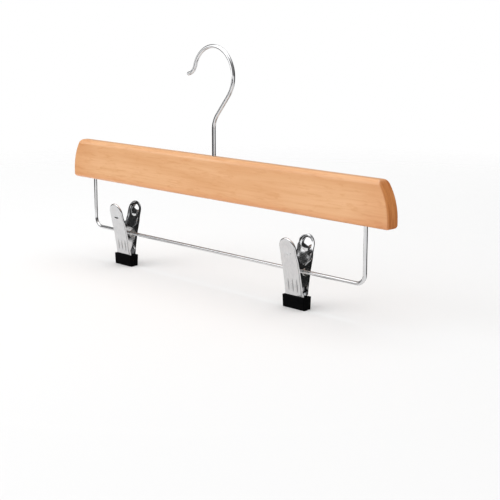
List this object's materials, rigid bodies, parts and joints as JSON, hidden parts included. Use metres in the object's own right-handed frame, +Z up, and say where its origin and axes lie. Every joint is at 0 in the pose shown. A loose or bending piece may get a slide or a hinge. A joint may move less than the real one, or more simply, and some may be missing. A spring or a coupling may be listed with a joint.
{
  "type": "skirt hanger",
  "caption": "Wooden bar hanger with a chrome swivel hook and a wire rail carrying sliding sprung clips with rubber tips, for skirts and trousers.",
  "frame": {"origin": "middle of the hook's round bend, where a wardrobe rod sits", "axes": "+X along the bar, to the right of someone who faces the front; -Y is the front; +Z up"},
  "size_m": [0.355, 0.0254, 0.1868],
  "materials": {
    "varnished_wood": "satin varnish",
    "chrome_wire": "bright chrome plate",
    "chrome_sheet": "bright chrome plate",
    "plated_rivet": "nickel plate",
    "plated_washer": "zinc plate",
    "spring_steel": "drawn wire",
    "black_rubber": "matt"
  },
  "bodies": {
    "hook": {"swivel_hook": "chrome_wire"},
    "hanger": {"wooden_bar": "varnished_wood", "clip_rail": "chrome_wire", "hook_washer": "plated_washer"},
    "left_runner": {"left_pivot": "plated_rivet"},
    "left_clip": {"left_rear_jaw": "chrome_sheet", "left_rear_tip": "black_rubber", "left_spring": "spring_steel"},
    "left_clip_front": {"left_front_jaw": "chrome_sheet", "left_front_tip": "black_rubber"},
    "right_runner": {"right_pivot": "plated_rivet"},
    "right_clip": {"right_rear_jaw": "chrome_sheet", "right_rear_tip": "black_rubber", "right_spring": "spring_steel"},
    "right_clip_front": {"right_front_jaw": "chrome_sheet", "right_front_tip": "black_rubber"}
  },
  "joints": [
    {"name": "hook_swivel", "type": "hinge", "parent": "hook", "child": "hanger", "pos_m": [0, 0, -0.078], "axis": [0, 0, 1], "continuous": true},
    {"name": "left_clip_slide", "type": "slide", "parent": "hanger", "child": "left_runner", "axis": [1, 0, 0], "range_m": [-0.0215, 0.0995]},
    {"name": "left_clip_swing", "type": "hinge", "parent": "left_runner", "child": "left_clip", "pos_m": [-0.1125, 0, -0.1353], "axis": [1, 0, 0], "continuous": true},
    {"name": "left_clip_open", "type": "hinge", "parent": "left_clip", "child": "left_clip_front", "pos_m": [-0.1125, 0, -0.1353], "axis": [-1, 0, 0], "range_deg": [0, 40], "stiffness_Nm_per_rad": 0.12, "springref_deg": -68.75, "deforming": ["left_spring"]},
    {"name": "right_clip_slide", "type": "slide", "parent": "hanger", "child": "right_runner", "axis": [1, 0, 0], "range_m": [-0.0763, 0.0447]},
    {"name": "right_clip_swing", "type": "hinge", "parent": "right_runner", "child": "right_clip", "pos_m": [0.0893, 0, -0.1353], "axis": [1, 0, 0], "continuous": true},
    {"name": "right_clip_open", "type": "hinge", "parent": "right_clip", "child": "right_clip_front", "pos_m": [0.0893, 0, -0.1353], "axis": [-1, 0, 0], "range_deg": [0, 40], "stiffness_Nm_per_rad": 0.12, "springref_deg": -68.75, "deforming": ["right_spring"]}
  ]
}
